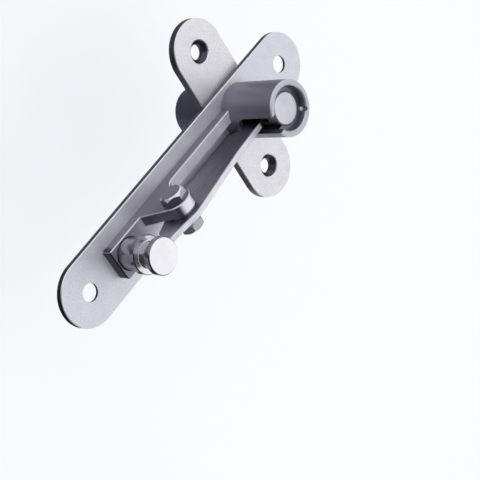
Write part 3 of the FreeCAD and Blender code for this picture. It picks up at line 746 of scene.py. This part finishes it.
def lay_sheet(name: str, corners: Sequence[Sequence[float]],
              material: bpy.types.Material) -> bpy.types.Object:
    """Make a flat sheet of the studio.

    Args:
        name: the sheet's name.
        corners: its four corners, in order round it.
        material: what it is made of.

    Returns:
        The sheet.
    """
    mesh = bpy.data.meshes.new(name)
    mesh.from_pydata(corners, [], [(0, 1, 2, 3)])
    mesh.materials.append(material)
    sheet = bpy.data.objects.new(name, mesh)
    bpy.context.scene.collection.objects.link(sheet)
    return sheet


@dataclass(frozen=True)
class Card:
    """Flat card outside the picture, which only reflections show.

    Attributes:
        name: the card's name.
        corner: one corner.
        across: the way from it along one side.
        up: the way from it along the other side.
        colour: the hex colour that reflections show.
    """

    name: str
    corner: Triple
    across: Triple
    up: Triple
    colour: str

    def hang(self) -> None:
        """Make the card and keep it out of the picture and of the shadows."""
        corner, across, up = Vector(self.corner), Vector(self.across), Vector(self.up)
        material = bpy.data.materials.new(f"{self.name}_paper")
        material.use_nodes = True
        shader = material.node_tree.nodes["Principled BSDF"]
        shader.inputs["Base Color"].default_value = linear("#000000")
        shader.inputs["Emission Color"].default_value = linear(self.colour)
        shader.inputs["Emission Strength"].default_value = 1.0
        card = lay_sheet(self.name, (corner, corner + across, corner + across + up, corner + up),
                         material)
        card.visible_camera = False
        card.visible_diffuse = False
        card.visible_shadow = False


@dataclass
class Studio:
    """Plain pale floor, even sky, one soft lamp, cards for the metal to show, and the camera.

    Attributes:
        floor_level: Z of the floor.
        floor_reach: half the length of its sides.
        floor_colour: hex colour of the paper on it.
        floor_roughness: roughness of that paper.
        floor_glow: strength that brings it up to white in the picture and in reflections.
        sky_colour: hex colour of the even sky.
        sky_level: its strength.
        lamp_way: direction from the part to the lamp.
        lamp_distance: how far away it hangs.
        lamp_side: length of its sides.
        lamp_power: its power in watts.
        middle: the point that it faces.
        camera_place: where the camera stands.
        camera_back: direction from the part to the camera.
        camera_up: direction of the picture's upper edge.
        lens_mm: focal length.
        sensor_mm: width of the sensor.
        cards: the dark cards beside and below the part, and the grey one below it.
    """

    floor_level: float = -0.11
    floor_reach: float = 6.0
    floor_colour: str = "#F4F4F6"
    floor_roughness: float = 0.9
    floor_glow: float = 0.12
    sky_colour: str = "#F6F7FA"
    sky_level: float = 0.97
    lamp_way: Triple = (-0.1, 0.0, 1.0)
    lamp_distance: float = 1.2
    lamp_side: float = 0.9
    lamp_power: float = 1.4
    middle: Triple = (-0.04, 0.0, 0.01)
    camera_place: Triple = (-0.32332, 0.25355, 0.41183)
    camera_back: Triple = (-0.48743, 0.51124, 0.70784)
    camera_up: Triple = (0.69307, 0.71962, -0.04249)
    lens_mm: float = 95.36
    sensor_mm: float = 36.0
    cards: tuple[Card, ...] = (
        Card("low_card", (-0.9, -0.35, -0.1), (0.82, 0.0, 0.0), (0.0, 0.45, 0.0), "#101012"),
        Card("grey_card", (-0.9, 0.02, -0.105), (1.8, 0.0, 0.0), (0.0, 0.9, 0.0), "#9C9CA2"),
        Card("side_card", (-0.9, -1.8, -0.1), (0.0, 2.7, 0.0), (0.0, 0.0, 1.8), "#18181B"),
    )

    def make_floor(self) -> None:
        """Lay a wide pale floor under the part."""
        material = bpy.data.materials.new("matt_paper")
        material.use_nodes = True
        tree = material.node_tree
        shader = tree.nodes["Principled BSDF"]
        shader.inputs["Base Color"].default_value = linear(self.floor_colour)
        shader.inputs["Roughness"].default_value = self.floor_roughness
        shader.inputs["Emission Color"].default_value = linear(self.floor_colour)
        rays = add_node(tree, "ShaderNodeLightPath").outputs
        seen = add_node(tree, "ShaderNodeMath", {
            0: rays["Is Camera Ray"], 1: rays["Is Glossy Ray"]}, operation="MAXIMUM")
        glow = add_node(tree, "ShaderNodeMath", {0: seen.outputs[0], 1: self.floor_glow},
                        operation="MULTIPLY")
        tree.links.new(glow.outputs[0], shader.inputs["Emission Strength"])
        reach, level = self.floor_reach, self.floor_level
        lay_sheet("floor", ((-reach, -reach, level), (reach, -reach, level),
                            (reach, reach, level), (-reach, reach, level)), material)

    def set_sky(self) -> None:
        """Set the even sky, which gives most of the light."""
        world = bpy.data.worlds.new("pale_sky")
        world.use_nodes = True
        sky = world.node_tree.nodes["Background"]
        sky.inputs["Color"].default_value = linear(self.sky_colour)
        sky.inputs["Strength"].default_value = self.sky_level
        bpy.context.scene.world = world

    def hang_lamp(self) -> None:
        """Hang the square lamp that gives the floor its soft shadow."""
        data = bpy.data.lights.new("top_lamp", "AREA")
        data.shape = "SQUARE"
        data.size = self.lamp_side
        data.energy = self.lamp_power
        lamp = bpy.data.objects.new("top_lamp", data)
        lamp.visible_glossy = False
        toward = Vector(self.lamp_way).normalized()
        lamp.location = Vector(self.middle) + toward * self.lamp_distance
        lamp.rotation_mode = "QUATERNION"
        lamp.rotation_quaternion = toward.to_track_quat("Z", "Y")
        bpy.context.scene.collection.objects.link(lamp)

    def place_camera(self) -> None:
        """Stand the camera where the photograph was taken from."""
        data = bpy.data.cameras.new("camera")
        data.lens = self.lens_mm
        data.sensor_width = self.sensor_mm
        camera = bpy.data.objects.new("camera", data)
        back = Vector(self.camera_back).normalized()
        right = Vector(self.camera_up).cross(back).normalized()
        turn = Matrix((right, back.cross(right), back)).transposed().to_4x4()
        camera.matrix_world = Matrix.Translation(self.camera_place) @ turn
        bpy.context.scene.collection.objects.link(camera)
        bpy.context.scene.camera = camera

    def build(self) -> None:
        """Make floor, cards, sky, lamp and camera."""
        self.make_floor()
        for card in self.cards:
            card.hang()
        self.set_sky()
        self.hang_lamp()
        self.place_camera()
        bpy.context.scene.view_settings.view_transform = "Standard"
        LOG.info("studio built")


def main() -> None:
    """Build each sub-assembly and the studio."""
    logging.basicConfig(level=logging.INFO, format="%(name)s: %(message)s")
    for part in (FramePart(), LeverArm(), SlidingPin(), ScrewSpool(), DoorLeaf(), Studio()):
        part.build()


if __name__ == "__main__":
    main()
